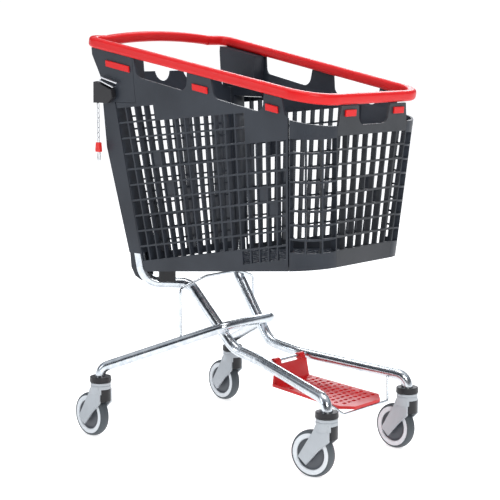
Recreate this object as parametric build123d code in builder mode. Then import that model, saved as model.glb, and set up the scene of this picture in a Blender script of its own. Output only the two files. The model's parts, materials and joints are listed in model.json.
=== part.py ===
from build123d import *
import math
import os

# Shopping cart with a moulded plastic basket on a bent-tube chassis with four swivel castors.
# Millimetres.  +X is the direction of travel, +Y is the cart's left, +Z is up, the floor is z = 0.

# ------------------------------------------------------------------ driving dimensions
# castors
wheel_diameter = 125.0
wheel_width = 30.0
castor_trail = 41.0
front_stem_x = 399.0
rear_stem_x = -331.0
front_stem_y = 179.0
rear_stem_y = 281.0
rest_swivels = {"front_right": 5.5, "front_left": -7.5, "rear_right": -5.0, "rear_left": -8.0}

# basket walls: half width, plan taper to the front and inward draft of the sides and the front
basket_half_width = 262.6
basket_ref_z = 1000.0
plan_taper = 0.042
side_draft = 0.10
front_face_x = 411.8
front_draft = 0.075
corner_radius = 88.0
wall_thickness = 6.0
blade_depth = 15.0
blade_thickness = 4.5
rib_height = 5.0

# floor lip and rim planes, both sloping along X
floor_lip_z = 504.0
floor_rise = 0.10
rim_under_z = 1034.4
rim_fall = 0.19
rim_height = 28.0
rim_width = 26.0

# lattice of the side panels
side_columns = 17
side_rows = 10
front_columns = 7
corner_columns = 3

# tubes and rods
tube_diameter = 30.0
leg_tube_diameter = 28.0
rod_diameter = 8.0

# clearances
seat_gap = 0.1
soft_gap = 0.3
running_gap = 0.05

os.makedirs("parts", exist_ok=True)


# ------------------------------------------------------------------ shared geometry
def half_width(x, z):
    """Half width of the basket's outer side face."""
    return basket_half_width - plan_taper * x - side_draft * (basket_ref_z - z)


def front_x(z):
    """X of the basket's outer front face."""
    return front_face_x - front_draft * (basket_ref_z - z)


def lip_z(x):
    """Underside of the basket's bottom lip."""
    return floor_lip_z + floor_rise * x


def rim_z(x):
    """Underside of the top rim."""
    return rim_under_z - rim_fall * x


side_plane = Plane(
    origin=(0, -half_width(0, basket_ref_z), basket_ref_z),
    x_dir=(1, plan_taper, 0),
    z_dir=(plan_taper, -1, -side_draft),
)
front_plane = Plane(
    origin=(front_x(basket_ref_z), 0, basket_ref_z),
    x_dir=(0, 1, 0),
    z_dir=(1, 0, -front_draft),
)
rim_plane = Plane(origin=(0, 0, rim_under_z), x_dir=(1, 0, -rim_fall), z_dir=(rim_fall, 0, 1))
lip_plane = Plane(origin=(0, 0, floor_lip_z), x_dir=(1, 0, floor_rise), z_dir=(-floor_rise, 0, 1))


def on_side(x, z):
    """Place (x, z) of the right side face in the side plane's own coordinates."""
    local = side_plane.to_local_coords(Vector(x, -half_width(x, z), z))
    return (local.X, local.Y)


def on_front(y, z):
    """Place (y, z) of the front face in the front plane's own coordinates."""
    local = front_plane.to_local_coords(Vector(front_x(z), y, z))
    return (local.X, local.Y)


def save(part, name):
    """Label a finished piece and write its STEP file."""
    part.label = name
    export_step(part, "parts/" + name + ".step")


def save_pair(part, name):
    """Write a right-hand piece and its mirror image on the left."""
    save(part, name + "_right")
    with BuildPart() as left:
        mirror(part, about=Plane.XZ)
    save(left.part, name + "_left")


def lerp(a, b, share):
    return a + (b - a) * share


# ------------------------------------------------------------------ side panels
side_rear_foot_x = -217.0
side_rear_head_x = -268.0
side_front_foot_x = front_x(540) - corner_radius
side_front_head_x = front_x(950) - corner_radius
grid_foot_z = 549.0
grid_foot_rise = 0.18
grid_head_z = 961.6
grid_head_rise = 0.094
side_seam = 0.4

# lowest and highest open rows of each column, from the rear: the ribs rise towards the front,
# so the lattice steps down there under the rim and gains a row above the lip
first_rows = [0] * 12 + [-1] * 5
open_rows = [10] * 4 + [9] * 9 + [7] * 4

# gaps under the rim between its posts, as x from rear to front, and their height
side_windows = [(-191.0, -2.0), (74.0, 248.0), (300.0, 360.0)]
window_height = 50.0
window_lean = 9.0
window_radius = 22.0


def side_node(share, row):
    """Grid point of the side lattice: share runs rear to front, row runs bottom to top."""
    foot_x = lerp(side_rear_foot_x, side_front_foot_x, share)
    head_x = lerp(side_rear_head_x, side_front_head_x, share)
    foot_z = grid_foot_z + grid_foot_rise * foot_x
    head_z = grid_head_z + grid_head_rise * head_x
    rise = row / side_rows
    return lerp(foot_x, head_x, rise), lerp(foot_z, head_z, rise)


def side_cell(column, row):
    """Outline of one opening of the side lattice, between two blades and two ribs."""
    corners = []
    for step, level in ((0, 0), (1, 0), (1, 1), (0, 1)):
        x, z = side_node((column + step) / side_columns, row + level)
        x += blade_thickness / 2 * (1 - 2 * step)
        z += rib_height / 2 * (1 - 2 * level)
        corners.append(on_side(x, z))
    return Polygon(*corners, align=None, mode=Mode.PRIVATE)


def side_blade(column):
    """Outline of one deep upright blade between its lattice's lowest and highest rows."""
    top_row = max(open_rows[column - 1], open_rows[column])
    corners = []
    for half, row in ((-1, 0), (1, 0), (1, top_row), (-1, top_row)):
        x, z = side_node(column / side_columns, row)
        corners.append(on_side(x + half * blade_thickness / 2, z))
    return Polygon(*corners, align=None, mode=Mode.PRIVATE)


def window(x0, x1):
    """Outline of one hand-wide gap under the rim of the side."""
    low0 = rim_z(x0) - window_height
    low1 = rim_z(x1) - window_height
    corners = [
        on_side(x0, rim_z(x0) + 10),
        on_side(x0 + window_lean, low0),
        on_side(x1 - window_lean, low1),
        on_side(x1, rim_z(x1) + 10),
    ]
    gap = Polygon(*corners, align=None, mode=Mode.PRIVATE)
    return fillet(gap.vertices().sort_by(Axis.Y)[:2], window_radius)


side_front_top_x = lerp(side_front_foot_x, side_front_head_x, 1.06)
trim_allowance = 8.0
cheek_front_x = -194.0
cheek_foot_z = 950.0
rear_edge_foot_z = 520.0
window_outlines = [window(x0, x1) for x0, x1 in side_windows]

with BuildPart() as side_panel:
    with BuildSketch(side_plane):
        with BuildLine():
            Polyline(
                on_side(side_rear_foot_x + 4, lip_z(side_rear_foot_x + 4)),
                on_side(side_front_foot_x - side_seam, lip_z(side_front_foot_x)),
                on_side(side_front_top_x - side_seam, rim_z(side_front_top_x) + trim_allowance),
                on_side(cheek_front_x, rim_z(cheek_front_x) + trim_allowance),
                on_side(cheek_front_x, cheek_foot_z),
                on_side(side_rear_head_x + 1, cheek_foot_z),
                on_side(side_rear_foot_x - 2, rear_edge_foot_z),
                close=True,
            )
        make_face()
        cells = [side_cell(c, r) for c in range(side_columns) for r in range(first_rows[c], open_rows[c])]
        add(cells, mode=Mode.SUBTRACT)
        add(window_outlines, mode=Mode.SUBTRACT)
    extrude(amount=-wall_thickness)
    with BuildSketch(side_plane.offset(-wall_thickness)):
        add([side_blade(c) for c in range(1, side_columns)])
    extrude(amount=wall_thickness - blade_depth)
    split(bisect_by=rim_plane.offset(-seat_gap), keep=Keep.BOTTOM)
save_pair(side_panel.part, "side_panel")

# ------------------------------------------------------------------ front panel
front_rows = 8
front_foot_z = 584.0
front_head_z = 884.0
front_post_inner = 69.0
front_post_outer = 139.0


def flat_half(z):
    """Half width of the flat of the front face, between its rounded corners."""
    return half_width(front_x(z) - corner_radius, z) - corner_radius


def front_node(share, row):
    z = lerp(front_foot_z, front_head_z, row / front_rows)
    return lerp(-flat_half(z), flat_half(z), share), z


def front_cell(column, row):
    """Outline of one opening of the front lattice."""
    corners = []
    for step, level in ((0, 0), (1, 0), (1, 1), (0, 1)):
        y, z = front_node((column + step) / front_columns, row + level)
        y += blade_thickness / 2 * (1 - 2 * step)
        z += rib_height / 2 * (1 - 2 * level)
        corners.append(on_front(y, z))
    return Polygon(*corners, align=None, mode=Mode.PRIVATE)


def front_blade(column):
    """Outline of one deep upright blade of the front lattice."""
    corners = []
    for half, row in ((-1, 0), (1, 0), (1, front_rows), (-1, front_rows)):
        y, z = front_node(column / front_columns, row)
        corners.append(on_front(y + half * blade_thickness / 2, z))
    return Polygon(*corners, align=None, mode=Mode.PRIVATE)


front_lip_z = lip_z(front_x(540))
front_top_z = rim_z(front_x(basket_ref_z - 50)) - seat_gap - 1
front_gap_z = front_top_z - window_height

middle_gap = Polygon(
    on_front(-front_post_inner, front_top_z + 10),
    on_front(-front_post_inner + window_lean, front_gap_z),
    on_front(front_post_inner - window_lean, front_gap_z),
    on_front(front_post_inner, front_top_z + 10),
    align=None,
)
middle_gap = fillet(middle_gap.vertices().sort_by(Axis.Y)[:2], window_radius)

with BuildPart() as front_panel:
    with BuildSketch(front_plane):
        with BuildLine():
            Polyline(
                on_front(-flat_half(front_lip_z) + side_seam, front_lip_z),
                on_front(flat_half(front_lip_z) - side_seam, front_lip_z),
                on_front(flat_half(front_top_z) - side_seam, front_top_z),
                on_front(-flat_half(front_top_z) + side_seam, front_top_z),
                close=True,
            )
        make_face()
        cells = [front_cell(c, r) for c in range(front_columns) for r in range(front_rows)]
        add(cells, mode=Mode.SUBTRACT)
        add(middle_gap, mode=Mode.SUBTRACT)
        for side in (-1, 1):
            outer_gap = Polygon(
                on_front(side * front_post_outer, front_top_z + 1),
                on_front(side * (front_post_outer + window_lean), front_gap_z),
                on_front(side * (flat_half(front_top_z) + 5), front_gap_z),
                on_front(side * (flat_half(front_top_z) + 5), front_top_z + 1),
                align=None,
                mode=Mode.PRIVATE,
            )
            add(outer_gap, mode=Mode.SUBTRACT)
    extrude(amount=-wall_thickness)
    with BuildSketch(front_plane.offset(-wall_thickness)):
        add([front_blade(c) for c in range(1, front_columns)])
    extrude(amount=wall_thickness - blade_depth)
    split(bisect_by=rim_plane.offset(-seat_gap), keep=Keep.BOTTOM)
save(front_panel.part, "front_panel")

# ------------------------------------------------------------------ rounded front corners
front_normal = Vector(1, 0, -front_draft).normalized()
side_normal = Vector(plan_taper, -1, -side_draft).normalized()
corner_axis = side_normal.cross(front_normal).normalized()
corner_sweep = math.degrees(math.acos(side_normal.dot(front_normal)))
corner_centre_x = front_face_x - corner_radius / front_normal.X
corner_centre_y = corner_radius / -side_normal.Y - half_width(corner_centre_x, basket_ref_z)
corner_plane = Plane(
    origin=(corner_centre_x, corner_centre_y, basket_ref_z),
    x_dir=front_normal,
    z_dir=corner_axis,
)
corner_depth = 480.0
corner_rows = 8
corner_foot = -413.0
corner_head = -114.0


def ring_sector(inner, outer, start, sweep):
    """Outline of a stretch of ring about the corner's axis."""
    corners = []
    for radius, share in ((inner, 0), (outer, 0), (outer, 0.5), (outer, 1), (inner, 1), (inner, 0.5)):
        angle = math.radians(start + sweep * share)
        corners.append((radius * math.cos(angle), radius * math.sin(angle)))
    return Polygon(*corners, align=None, mode=Mode.PRIVATE)


corner_column = corner_sweep / corner_columns
blade_angle = math.degrees(blade_thickness / corner_radius)
row_pitch = (corner_head - corner_foot) / corner_rows

with BuildPart() as front_corner:
    with BuildSketch(corner_plane):
        with BuildLine():
            CenterArc((0, 0), corner_radius, 0, -corner_sweep)
            CenterArc((0, 0), corner_radius - wall_thickness, 0, -corner_sweep)
            Line((corner_radius - wall_thickness, 0), (corner_radius, 0))
            side_edge = Vector(math.cos(math.radians(corner_sweep)), -math.sin(math.radians(corner_sweep)))
            Line(side_edge * (corner_radius - wall_thickness), side_edge * corner_radius)
        make_face()
    extrude(amount=-corner_depth)
    with BuildSketch(corner_plane.offset(corner_foot)):
        for column in (0.06, 1, 2, 2.9):
            turn = math.radians(-column * corner_column)
            middle = corner_radius - wall_thickness - (blade_depth - wall_thickness) / 2
            with Locations((middle * math.cos(turn), middle * math.sin(turn))):
                Rectangle(blade_depth - wall_thickness + 0.5, blade_thickness, rotation=math.degrees(turn))
    extrude(amount=corner_head - corner_foot)
    for row in range(corner_rows):
        with BuildSketch(corner_plane.offset(corner_foot + row * row_pitch + rib_height / 2)):
            for column in range(corner_columns):
                start = -column * corner_column - blade_angle / 2
                add(ring_sector(corner_radius - 20, corner_radius + 4, start, blade_angle - corner_column))
        extrude(amount=row_pitch - rib_height, mode=Mode.SUBTRACT)
    split(bisect_by=rim_plane.offset(-window_height), keep=Keep.BOTTOM)
    split(bisect_by=lip_plane, keep=Keep.TOP)
save_pair(front_corner.part, "front_corner")

# ------------------------------------------------------------------ rear corner posts
post_depth = 36.0
web_depth = 10.0
post_gap = 3.0
post_cut_z = 532.0
tube_inset = 19.0
tube_top_x = -296.0
tube_top_z = 1000.0
tube_exit_x = -243.0
tube_exit_z = 529.0
gate_axis_x = -290.0
gate_axis_z = 992.0
gate_pin_radius = 5.0


def post_front_x(z):
    """Front edge of the corner post, a narrow gap behind the side panel."""
    share = (z - rear_edge_foot_z) / (cheek_foot_z - rear_edge_foot_z)
    return lerp(side_rear_foot_x, side_rear_head_x, share) - post_gap


def on_side_depth(x, z, inset):
    """Point a given depth inboard of the right side face."""
    return Vector(x, -half_width(x, z), z) - side_normal * inset


tube_top = on_side_depth(tube_top_x, tube_top_z, tube_inset)
tube_exit = on_side_depth(tube_exit_x, tube_exit_z, tube_inset)
tube_line = (tube_exit - tube_top).normalized()
upright_foot = tube_exit + tube_line * ((tube_exit_z - 447.0) / -tube_line.Z)
pin_plane = Plane(origin=(gate_axis_x, 0, gate_axis_z), x_dir=(1, 0, 0), z_dir=(0, -1, 0))

# route of the right-hand chassis tube: up the corner post, down the leg and out to the front castor
castor_head = 39.0
collar_foot_z = wheel_diameter + castor_head
collar_height = 15.0
collar_head_z = collar_foot_z + collar_height
tube_wall = 2.0
tube_foot_z = collar_foot_z + 4.0
front_bend_z = tube_foot_z + 40.0
leg_top = Vector(-150.0, -104.0, 442.0)
leg_knee = Vector(-8.0, -75.0, 268.0)
leg_spread = Vector(95.0, -82.0, 250.0)
tube_bends = [52, 40, 70, 90, 34]

with BuildLine() as main_route:
    main_path = FilletPolyline(
        tube_top,
        upright_foot,
        leg_top,
        leg_knee,
        leg_spread,
        (front_stem_x, -front_stem_y, front_bend_z),
        (front_stem_x, -front_stem_y, tube_foot_z),
        radius=tube_bends,
    )
main_start = Plane(origin=main_path @ 0, x_dir=(0, 1, 0), z_dir=main_path % 0)


# the room that the tube takes, cut out of what it is clamped in
with BuildPart() as tube_seat:
    with BuildSketch(main_start):
        Circle(tube_diameter / 2 + seat_gap)
    sweep(path=main_route.line)

pin_outer = half_width(gate_axis_x, gate_axis_z) - post_depth - 0.6

with BuildPart() as corner_post:
    with BuildSketch(side_plane):
        with BuildLine():
            Polyline(
                on_side(post_front_x(post_cut_z), post_cut_z),
                on_side(post_front_x(cheek_foot_z), cheek_foot_z + 1),
                on_side(cheek_front_x - 1, cheek_foot_z + 1),
                on_side(cheek_front_x - 1, rim_z(cheek_front_x) + trim_allowance),
                on_side(-342, rim_z(-342) + trim_allowance),
                on_side(-342, 1080),
                on_side(-316, 1018),
                on_side(-316, 826),
                on_side(-264, post_cut_z),
                close=True,
            )
        make_face()
    extrude(amount=-post_depth)
    with BuildSketch(side_plane.offset(-post_depth)):
        with BuildLine():
            Polyline(
                on_side(post_front_x(post_cut_z), post_cut_z),
                on_side(post_front_x(cheek_foot_z), cheek_foot_z + 1),
                on_side(cheek_front_x - 1, cheek_foot_z + 1),
                on_side(cheek_front_x - 1, rim_z(cheek_front_x) + trim_allowance),
                on_side(-342, rim_z(-342) + trim_allowance),
                on_side(-342, 1080),
                on_side(-332, 1018),
                on_side(-332, 826),
                on_side(-296, 560),
                on_side(-296, 480),
                on_side(-284, 456),
                on_side(-262, 445),
                on_side(-226, 445),
                on_side(-222, 470),
                close=True,
            )
        make_face()
    extrude(amount=-web_depth)
    add(tube_seat.part, mode=Mode.SUBTRACT)
    with BuildSketch(pin_plane.offset(pin_outer)):
        Circle(gate_pin_radius)
    extrude(amount=-100, mode=Mode.SUBTRACT)
    split(bisect_by=rim_plane.offset(-seat_gap), keep=Keep.BOTTOM)
save_pair(corner_post.part, "corner_post")

# ------------------------------------------------------------------ floor
floor_offset = 8.0
floor_thickness = 9.0
floor_rear_x = -205.0
floor_columns = 10
floor_rows = 13
floor_rib = 7.0
floor_border = 26.0
floor_plane = lip_plane.offset(floor_offset)


def floor_half(x):
    """Half width of the floor between the side walls at its own height."""
    return half_width(x, lip_z(x) + floor_offset) - wall_thickness - 2 * soft_gap


def on_floor(x, y):
    local = floor_plane.to_local_coords(Vector(x, y, lip_z(x) + floor_offset))
    return (local.X, local.Y)


floor_front_x = front_x(lip_z(370) + floor_offset) - wall_thickness - 2 * soft_gap
floor_corner_x = floor_front_x - corner_radius + wall_thickness


def floor_cell(column, row):
    """Outline of one opening of the floor grid."""
    corners = []
    first = floor_rear_x + floor_border
    last = floor_front_x - floor_border
    for step, level in ((0, 0), (1, 0), (1, 1), (0, 1)):
        x = lerp(first, last, (row + level) / floor_rows) + floor_rib / 2 * (1 - 2 * level)
        reach = min(floor_half(x), floor_half(floor_corner_x) - max(0, x - floor_corner_x) * 0.62)
        y = lerp(-reach + floor_border, reach - floor_border, (column + step) / floor_columns)
        corners.append(on_floor(x, y + floor_rib / 2 * (1 - 2 * step)))
    return Polygon(*corners, align=None, mode=Mode.PRIVATE)


with BuildPart() as floor_panel:
    with BuildSketch(floor_plane):
        with BuildLine():
            Polyline(
                on_floor(floor_rear_x, -floor_half(floor_rear_x)),
                on_floor(floor_corner_x - 8, -floor_half(floor_corner_x - 8)),
                on_floor(floor_corner_x + 36, -floor_half(floor_corner_x) + 14),
                on_floor(floor_corner_x + 66, -floor_half(floor_corner_x) + 42),
                on_floor(floor_front_x, -floor_half(floor_corner_x) + 88),
                on_floor(floor_front_x, floor_half(floor_corner_x) - 88),
                on_floor(floor_corner_x + 66, floor_half(floor_corner_x) - 42),
                on_floor(floor_corner_x + 36, floor_half(floor_corner_x) - 14),
                on_floor(floor_corner_x - 8, floor_half(floor_corner_x - 8)),
                on_floor(floor_rear_x, floor_half(floor_rear_x)),
                close=True,
            )
        make_face()
        add([floor_cell(c, r) for c in range(floor_columns) for r in range(floor_rows)], mode=Mode.SUBTRACT)
    extrude(amount=floor_thickness)
save(floor_panel.part, "floor_panel")

# ------------------------------------------------------------------ swinging rear gate
gate_foot_x = -226.0
gate_foot_z = 507.0
gate_head = 40.0
gate_columns = 12
gate_rows = 12
gate_side_gap = 3.0
gate_up = Vector(gate_axis_x - gate_foot_x, 0, gate_axis_z - gate_foot_z).normalized()
gate_plane = Plane(
    origin=(gate_axis_x, 0, gate_axis_z),
    x_dir=(0, -1, 0),
    z_dir=Vector(0, -1, 0).cross(gate_up),
)
gate_length = math.hypot(gate_axis_x - gate_foot_x, gate_axis_z - gate_foot_z)
gate_thickness = 6.0
barrel_radius = 10.0
barrel_length = 36.0


def gate_half(down):
    """Half width of the gate, a given distance down from its axis."""
    x = gate_axis_x - gate_up.X * down
    z = gate_axis_z - gate_up.Z * down
    return half_width(x, z) - post_depth - web_depth - gate_side_gap - 1


def gate_cell(column, row):
    """Outline of one opening of the gate's lattice."""
    corners = []
    for step, level in ((0, 0), (1, 0), (1, 1), (0, 1)):
        down = lerp(48.0, gate_length - 18.0, (row + level) / gate_rows) + rib_height / 2 * (1 - 2 * level)
        reach = gate_half(down) - 16.0
        across = lerp(-reach, reach, (column + step) / gate_columns)
        corners.append((across + blade_thickness / 2 * (1 - 2 * step), -down))
    return Polygon(*corners, align=None, mode=Mode.PRIVATE)


def gate_blade(column):
    """Outline of one deep upright blade of the gate."""
    corners = []
    for half, down in ((-1, gate_length - 18.0), (1, gate_length - 18.0), (1, 48.0), (-1, 48.0)):
        reach = gate_half(down) - 16.0
        across = lerp(-reach, reach, column / gate_columns)
        corners.append((across + half * blade_thickness / 2, -down))
    return Polygon(*corners, align=None, mode=Mode.PRIVATE)


with BuildPart() as gate_panel:
    with BuildSketch(gate_plane):
        with BuildLine():
            Polyline(
                (-gate_half(gate_length), -gate_length),
                (gate_half(gate_length), -gate_length),
                (gate_half(14.0), -14.0),
                (gate_half(14.0) - barrel_length - 6, 0),
                (gate_half(14.0) - barrel_length - 26, gate_head),
                (-gate_half(14.0) + barrel_length + 26, gate_head),
                (-gate_half(14.0) + barrel_length + 6, 0),
                (-gate_half(14.0), -14.0),
                close=True,
            )
        make_face()
        add([gate_cell(c, r) for c in range(gate_columns) for r in range(gate_rows)], mode=Mode.SUBTRACT)
        with Locations((-58, gate_head + 4), (58, gate_head + 4)):
            Circle(32, mode=Mode.SUBTRACT)
    extrude(amount=gate_thickness / 2, both=True)
    with BuildSketch(gate_plane.offset(-gate_thickness / 2)):
        add([gate_blade(c) for c in range(1, gate_columns)])
    extrude(amount=-7)
    for side in (-1, 1):
        with BuildSketch(pin_plane.offset(side * (gate_half(0) - barrel_length / 2))):
            Circle(barrel_radius)
        extrude(amount=barrel_length / 2, both=True)
        with BuildSketch(pin_plane.offset(side * (gate_half(0) - barrel_length / 2))):
            Circle(gate_pin_radius + running_gap)
        extrude(amount=barrel_length / 2 + 1, both=True, mode=Mode.SUBTRACT)
save(gate_panel.part, "gate_panel")

with BuildPart() as gate_hinge_pins:
    for side in (-1, 1):
        with BuildSketch(pin_plane.offset(side * pin_outer)):
            Circle(gate_pin_radius)
        extrude(amount=-side * (pin_outer - gate_half(0) + barrel_length - 4))
save(gate_hinge_pins.part, "gate_hinge_pins")

# ------------------------------------------------------------------ top rim and handle
rim_side_inset = 5.0
rim_joint_x = 250.0
rim_front_x = 398.0
rim_front_radius = 92.0
rim_rear_x = -362.0
rim_rear_radius = 36.0
handle_half = 200.0
handle_arch = 12.0
handle_sweep_back = 6.0


def rim_centre(x, y):
    """Point on the rim's centre line, half its height above its underside."""
    return Vector(x, y, rim_z(x) + rim_height / 2 * math.hypot(1, rim_fall))


def rim_y(x):
    return half_width(x, rim_z(x) - 10) - rim_side_inset


front_turn_y = rim_y(rim_front_x)
rear_turn_y = rim_y(rim_rear_x)

with BuildPart() as rim_front:
    with BuildLine():
        rim_front_path = FilletPolyline(
            rim_centre(rim_joint_x, -rim_y(rim_joint_x)),
            rim_centre(rim_front_x, -front_turn_y),
            rim_centre(rim_front_x, front_turn_y),
            rim_centre(rim_joint_x, rim_y(rim_joint_x)),
            radius=rim_front_radius,
        )
    with BuildSketch(Plane(origin=rim_front_path @ 0, x_dir=rim_plane.z_dir, z_dir=rim_front_path % 0)):
        RectangleRounded(rim_height, rim_width, 9)
    sweep()
save(rim_front.part, "rim_front")

with BuildPart() as rim_right:
    with BuildLine():
        rim_right_path = FilletPolyline(
            rim_centre(rim_joint_x - seat_gap, -rim_y(rim_joint_x)),
            rim_centre(rim_rear_x, -rear_turn_y),
            rim_centre(rim_rear_x, -handle_half),
            radius=rim_rear_radius,
        )
    with BuildSketch(Plane(origin=rim_right_path @ 0, x_dir=rim_plane.z_dir, z_dir=rim_right_path % 0)):
        RectangleRounded(rim_height, rim_width, 9)
    sweep()
save_pair(rim_right.part, "rim")

handle_end = rim_centre(rim_rear_x, -handle_half - 8)
handle_mid = rim_centre(rim_rear_x, 0) + Vector(-handle_sweep_back, 0, handle_arch)
with BuildPart() as handle_bar:
    with BuildLine():
        handle_far = Vector(handle_end.X, -handle_end.Y, handle_end.Z)
        handle_path = ThreePointArc(handle_end, handle_mid, handle_far)
    with BuildSketch(Plane(origin=handle_path @ 0, x_dir=rim_plane.z_dir, z_dir=handle_path % 0)):
        RectangleRounded(rim_height, rim_width, 9)
    sweep()
    split(bisect_by=Plane.XZ.offset(handle_half - seat_gap), keep=Keep.BOTTOM)
    split(bisect_by=Plane.XZ.offset(seat_gap - handle_half), keep=Keep.TOP)
save(handle_bar.part, "handle_bar")

# ------------------------------------------------------------------ rim clips
clip_height = 17.0
clip_drop = 24.0
clip_thickness = 5.0
side_clips = [(-290.0, -206.0), (14.0, 64.0), (252.0, 290.0)]

with BuildPart() as rim_clips:
    for x0, x1 in side_clips:
        with BuildSketch(side_plane.offset(seat_gap)):
            with BuildLine():
                Polyline(
                    on_side(x0, rim_z(x0) - clip_drop),
                    on_side(x1, rim_z(x1) - clip_drop),
                    on_side(x1, rim_z(x1) - clip_drop - clip_height),
                    on_side(x0, rim_z(x0) - clip_drop - clip_height),
                    close=True,
                )
            make_face()
        extrude(amount=clip_thickness)
    mirror(about=Plane.XZ)
    with BuildSketch(front_plane.offset(seat_gap)):
        for side in (-1, 1):
            y = side * (front_post_inner + front_post_outer) / 2
            with Locations(on_front(y, front_top_z - clip_drop + 6)):
                Rectangle(44, clip_height)
    extrude(amount=clip_thickness)
save(rim_clips.part, "rim_clips")

# ------------------------------------------------------------------ chassis tubes
with BuildPart() as main_tube:
    with BuildSketch(main_start):
        Circle(tube_diameter / 2)
        Circle(tube_diameter / 2 - tube_wall, mode=Mode.SUBTRACT)
    sweep(path=main_route.line)
save_pair(main_tube.part, "main_tube")

cross_x = -21.5
cross_half = 100.0
cross_z = 333.0
rear_bend_z = tube_foot_z + 34.0


def leg_run(side):
    """Direction of the straight run of the rear leg tube, from a castor up to the cross piece."""
    return Vector(cross_x - rear_stem_x, side * (cross_half - rear_stem_y), cross_z - rear_bend_z)


def leg_run_z(x):
    """Height of that run's centre line at x."""
    return lerp(rear_bend_z, cross_z, (x - rear_stem_x) / (cross_x - rear_stem_x))


with BuildPart() as rear_leg_tube:
    with BuildLine():
        rear_path = FilletPolyline(
            (rear_stem_x, -rear_stem_y, tube_foot_z),
            (rear_stem_x, -rear_stem_y, rear_bend_z),
            (cross_x, -cross_half, cross_z),
            (cross_x, cross_half, cross_z),
            (rear_stem_x, rear_stem_y, rear_bend_z),
            (rear_stem_x, rear_stem_y, tube_foot_z),
            radius=[30, 32, 32, 30],
        )
    with BuildSketch(Plane(origin=rear_path @ 0, x_dir=(1, 0, 0), z_dir=rear_path % 0)):
        Circle(leg_tube_diameter / 2)
        Circle(leg_tube_diameter / 2 - tube_wall, mode=Mode.SUBTRACT)
    sweep()
save(rear_leg_tube.part, "rear_leg_tube")

rod_x = -138.0
rod_y = 155.0
with BuildPart() as brace_rod:
    with BuildLine():
        brace_path = FilletPolyline(
            (rod_x, -rod_y, leg_run_z(rod_x)),
            (rod_x, -rod_y, 434),
            (rod_x + 16, -66, 461),
            (rod_x + 16, 66, 461),
            (rod_x, rod_y, 434),
            (rod_x, rod_y, leg_run_z(rod_x)),
            radius=[18, 30, 30, 18],
        )
    with BuildSketch(Plane(origin=brace_path @ 0, x_dir=(1, 0, 0), z_dir=brace_path % 0)):
        Circle(rod_diameter / 2)
    sweep()
    for side in (-1, 1):
        with BuildSketch(Plane(origin=(rear_stem_x, side * rear_stem_y, rear_bend_z), z_dir=leg_run(side))):
            Circle(leg_tube_diameter / 2 + seat_gap)
        extrude(amount=600, mode=Mode.SUBTRACT)
save(brace_rod.part, "brace_rod")

# ------------------------------------------------------------------ tube saddles under the floor
saddle_centre = (upright_foot + leg_top) * 0.5
saddle_line = (leg_top - upright_foot).normalized()
saddle_plane = Plane(origin=saddle_centre, x_dir=saddle_line, z_dir=(0, 0, 1))
with BuildPart() as tube_saddles:
    with BuildSketch(saddle_plane.offset(6)):
        RectangleRounded(46, 44, 5)
    extrude(amount=60)
    add(tube_seat.part, mode=Mode.SUBTRACT)
    split(bisect_by=floor_plane.offset(-seat_gap), keep=Keep.BOTTOM)
    mirror(about=Plane.XZ)
save(tube_saddles.part, "tube_saddles")

# ------------------------------------------------------------------ lower tray
tray_rod_x = 123.0
tray_rod_z = 250.0
tray_rod_half = 86.0
tray_rear_x = 132.0
tray_rear_z = 184.0
tray_front_x = 397.0
tray_front_z = 160.0
tray_rear_half = 78.0
tray_front_half = 89.0
tray_floor = 8.0
tray_wall = 6.0
hook_radius = 8.5
hook_y = 52.0

tray_slope = (tray_front_z - tray_rear_z) / (tray_front_x - tray_rear_x)
tray_plane = Plane(origin=(tray_rear_x, 0, tray_rear_z), x_dir=(1, 0, tray_slope), z_dir=(-tray_slope, 0, 1))
tray_length = math.hypot(tray_front_x - tray_rear_x, tray_front_z - tray_rear_z)
rod_plane = Plane(origin=(tray_rod_x, 0, tray_rod_z), x_dir=(1, 0, 0), z_dir=(0, -1, 0))
tray_rows = 12
tray_columns = 7

with BuildPart() as tray_basket:
    with BuildSketch(tray_plane):
        with BuildLine():
            Polyline(
                (0, -tray_rear_half),
                (tray_length - 30, -tray_front_half),
                (tray_length, -tray_front_half + 34),
                (tray_length, tray_front_half - 34),
                (tray_length - 30, tray_front_half),
                (0, tray_rear_half),
                close=True,
            )
        make_face()
        for row in range(tray_rows):
            shift = 5.5 if row % 2 else -5.5
            with Locations((22 + row * 19.0, shift)):
                with GridLocations(1, 21.0, 1, tray_columns):
                    SlotOverall(15, 9, rotation=90, mode=Mode.SUBTRACT)
    extrude(amount=tray_floor)
    with BuildSketch(Plane(origin=(tray_rear_x, 0, tray_rear_z), x_dir=(0, 1, 0), z_dir=(1, 0, 0.04))):
        with BuildLine():
            Polyline(
                (-tray_rear_half, 0),
                (tray_rear_half, 0),
                (hook_y + 14, 58),
                (-hook_y - 14, 58),
                close=True,
            )
        make_face()
    extrude(amount=tray_wall)
    for side in (-1, 1):
        with BuildSketch(rod_plane.offset(side * hook_y)):
            Circle(hook_radius)
        extrude(amount=11, both=True)
        hook_origin = (tray_rod_x, -side * hook_y, tray_rod_z)
        with BuildSketch(Plane(origin=hook_origin, x_dir=(0, 1, 0), z_dir=(0, 0, -1))):
            with Locations((0, 5)):
                Rectangle(22, 12)
        extrude(amount=16)
        with BuildSketch(rod_plane.offset(side * hook_y)):
            Circle(rod_diameter / 2 + running_gap)
        extrude(amount=14, both=True, mode=Mode.SUBTRACT)
save(tray_basket.part, "tray_basket")

with BuildPart() as tray_rod:
    with BuildSketch(rod_plane):
        Circle(rod_diameter / 2)
    extrude(amount=tray_rod_half)
    add(tube_seat.part, mode=Mode.SUBTRACT)
    mirror(about=Plane.XZ)
save(tray_rod.part, "tray_rod")

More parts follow.
